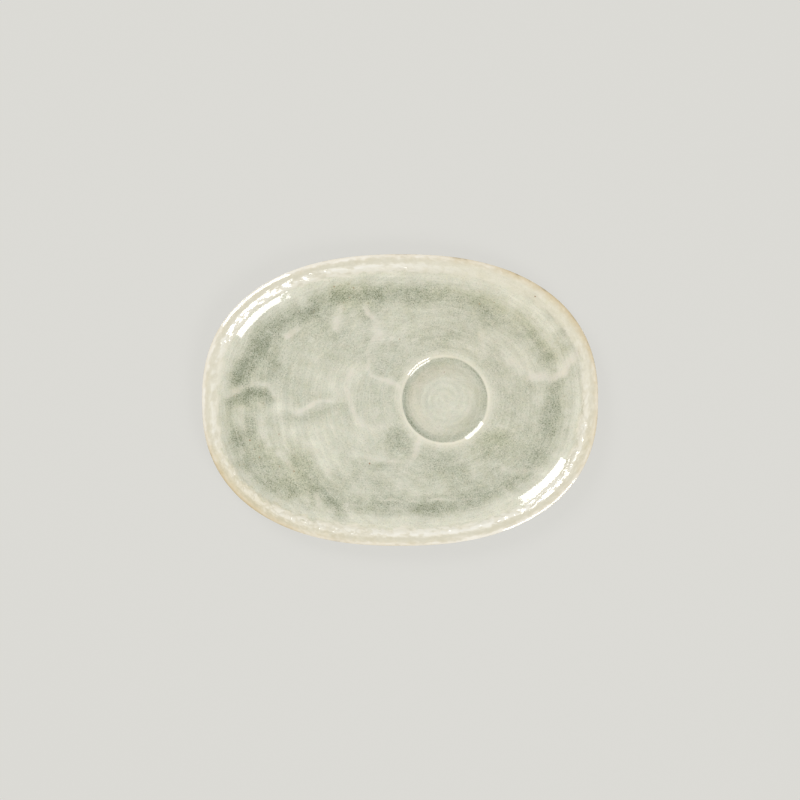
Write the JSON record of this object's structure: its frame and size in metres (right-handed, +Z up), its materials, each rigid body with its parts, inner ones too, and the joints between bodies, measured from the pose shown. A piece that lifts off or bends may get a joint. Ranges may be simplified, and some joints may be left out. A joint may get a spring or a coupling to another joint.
{
  "type": "saucer",
  "caption": "Oval stoneware saucer with a raised coved rim, a round cup well set to one side, a glazed face and a bare foot ring.",
  "frame": {"origin": "on the table, under the middle of the oval", "axes": "+X along the oval towards the cup well, +Y across the oval, +Z up out of the dish"},
  "size_m": [0.22, 0.162, 0.0147],
  "materials": {
    "stoneware": "matte",
    "celadon_glaze": "gloss",
    "cream_glaze": "gloss"
  },
  "bodies": {
    "root": {"clay_body": "stoneware", "upper_glaze": "celadon_glaze", "outside_glaze": "cream_glaze", "base_glaze": "cream_glaze"}
  },
  "joints": []
}
